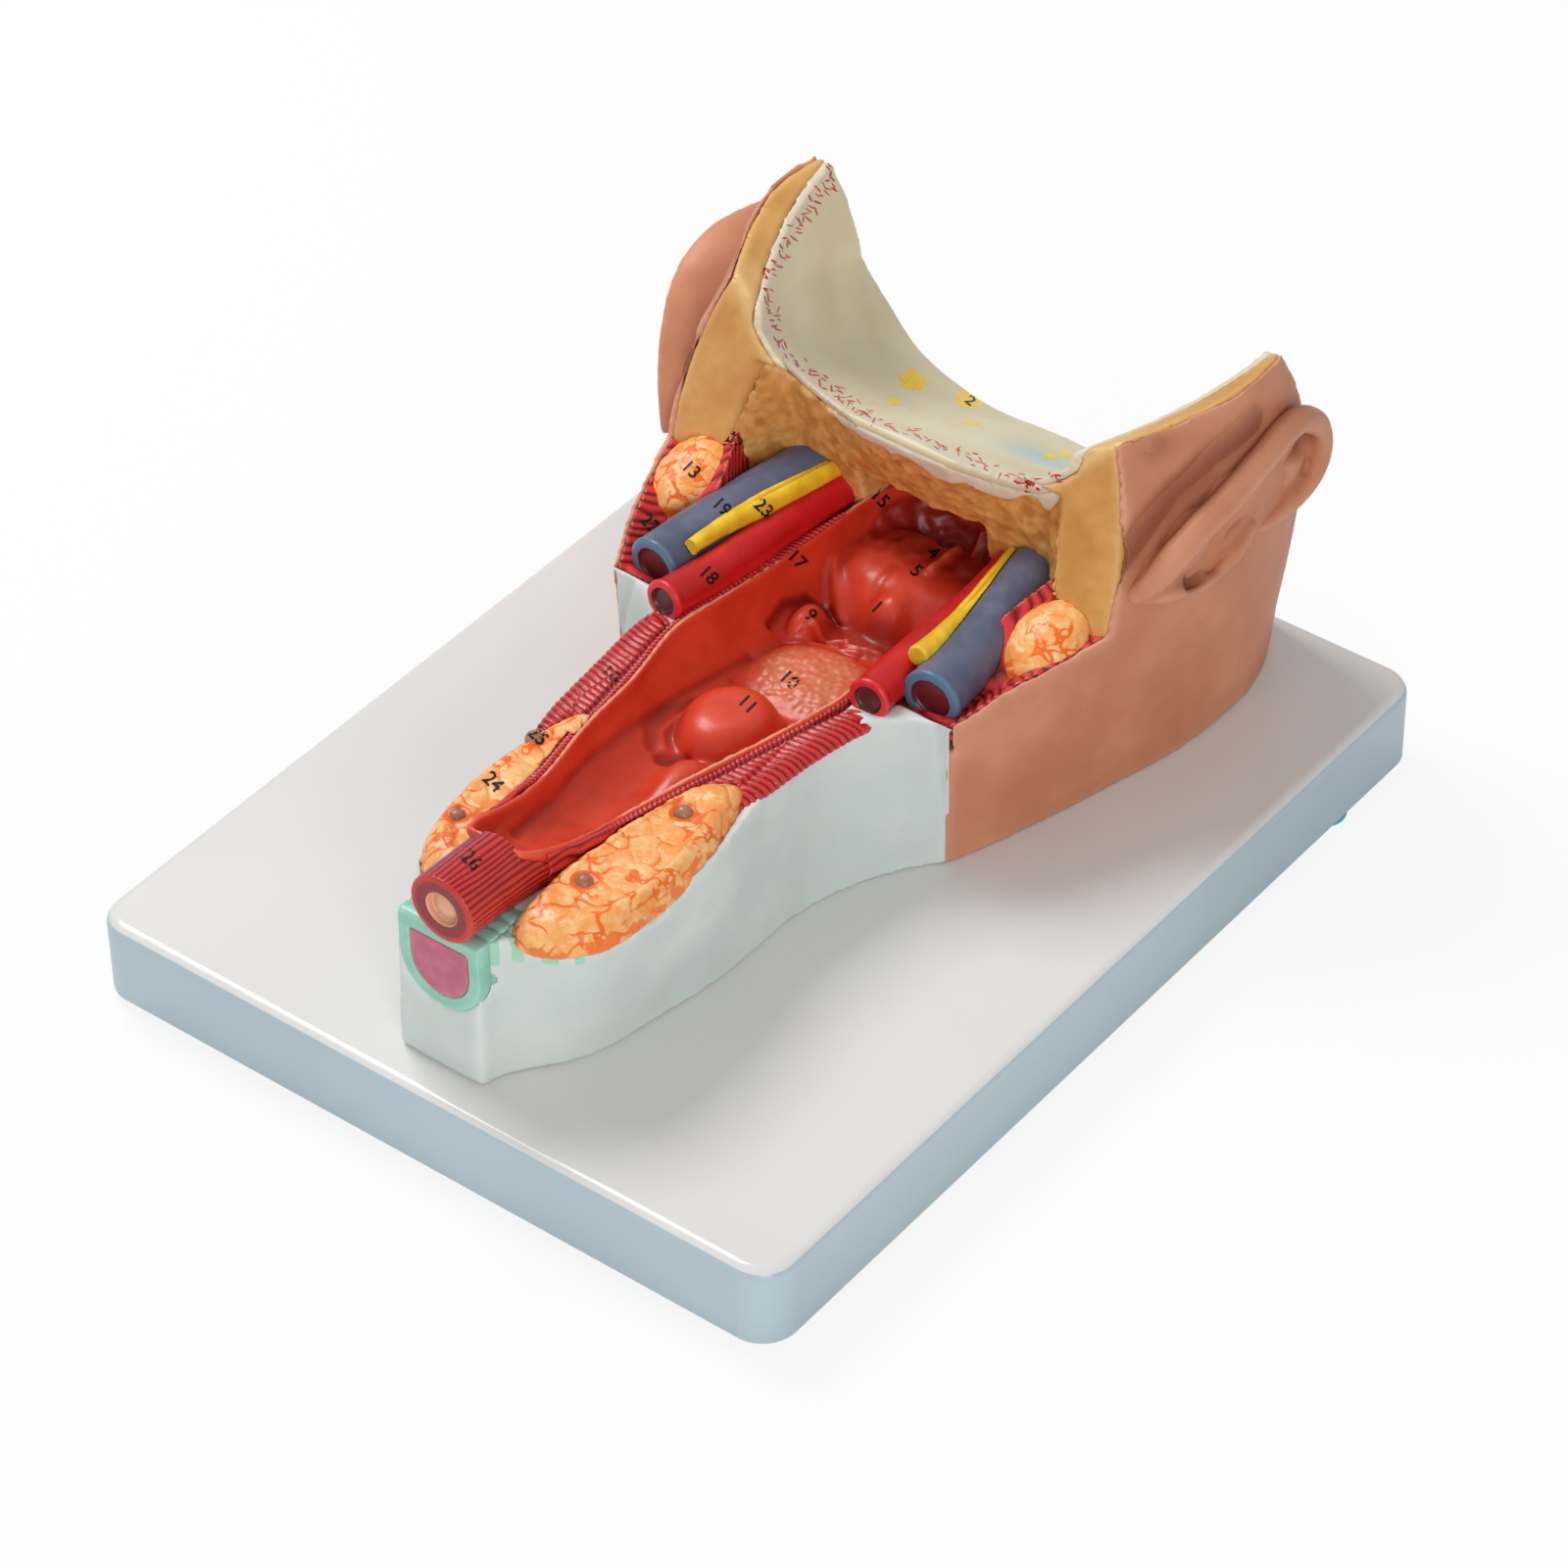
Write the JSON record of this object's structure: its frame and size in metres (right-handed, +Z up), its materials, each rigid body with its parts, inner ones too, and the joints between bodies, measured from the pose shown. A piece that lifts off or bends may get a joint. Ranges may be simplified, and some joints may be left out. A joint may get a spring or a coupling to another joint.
{
  "type": "anatomical pharynx model",
  "caption": "Painted teaching model of the opened throat and lower head, lying on a low rectangular base with rounded corners.",
  "frame": {"origin": "centre of the base, on the plane that the feet stand on", "axes": "+Z up, +Y along the base from the windpipe end to the head, +X towards the right ear in the picture's view"},
  "size_m": [0.208, 0.269, 0.1253],
  "materials": {
    "panel_white": "moulded, glossy white",
    "tray_blue": "moulded, satin pale blue",
    "foot_cyan": "soft, matt cyan",
    "fastener_steel": "bright zinc-plated",
    "skin": "hand painted, semi matt",
    "neck_block": "hand painted pale grey-green",
    "fat_tan": "hand painted, lacquered",
    "bone_ochre": "hand painted, mottled, lacquered",
    "dura_cream": "hand painted, lacquered",
    "mucosa_red": "hand painted, lacquered",
    "muscle_red": "hand painted, lacquered",
    "artery_red": "hand painted, lacquered",
    "vein_blue": "hand painted, lacquered",
    "nerve_yellow": "hand painted, lacquered",
    "gland_orange": "hand painted, veined, lacquered",
    "bead_brown": "hand painted, lacquered",
    "cartilage_mint": "hand painted, lacquered",
    "membrane_pink": "hand painted, lacquered"
  },
  "bodies": {
    "root": {"base_panel": "panel_white", "base_skirt": "tray_blue", "base_bottom": "tray_blue", "foot_front_left": "foot_cyan", "foot_front_right": "foot_cyan", "foot_rear_left": "foot_cyan", "foot_rear_right": "foot_cyan", "casting_washers": "fastener_steel", "casting_screws": "fastener_steel", "closing_screws": "fastener_steel", "head_casting": "skin", "neck_casting": "neck_block", "ear_left": "skin", "ear_right": "skin", "fat_section_left": "fat_tan", "fat_section_right": "fat_tan", "skull_base": "bone_ochre", "dura_lining": "dura_cream", "pharynx_lining": "mucosa_red", "soft_palate": "mucosa_red", "tongue_root": "mucosa_red", "epiglottis": "mucosa_red", "arytenoid_fold": "mucosa_red", "tonsil_left": "mucosa_red", "tonsil_right": "mucosa_red", "constrictor_left": "muscle_red", "constrictor_right": "muscle_red", "esophagus": "muscle_red", "digastric_muscle_left": "muscle_red", "digastric_muscle_right": "muscle_red", "muscle_bed_left": "muscle_red", "muscle_bed_right": "muscle_red", "carotid_artery_left": "artery_red", "carotid_artery_right": "artery_red", "jugular_vein_left": "vein_blue", "jugular_vein_right": "vein_blue", "vagus_nerve_left": "nerve_yellow", "vagus_nerve_right": "nerve_yellow", "thyroid_lobe_left": "gland_orange", "thyroid_lobe_right": "gland_orange", "parotid_gland_left": "gland_orange", "parotid_gland_right": "gland_orange", "parathyroids_left": "bead_brown", "parathyroids_right": "bead_brown", "trachea_ring": "cartilage_mint", "trachea_membrane": "membrane_pink"}
  },
  "joints": []
}
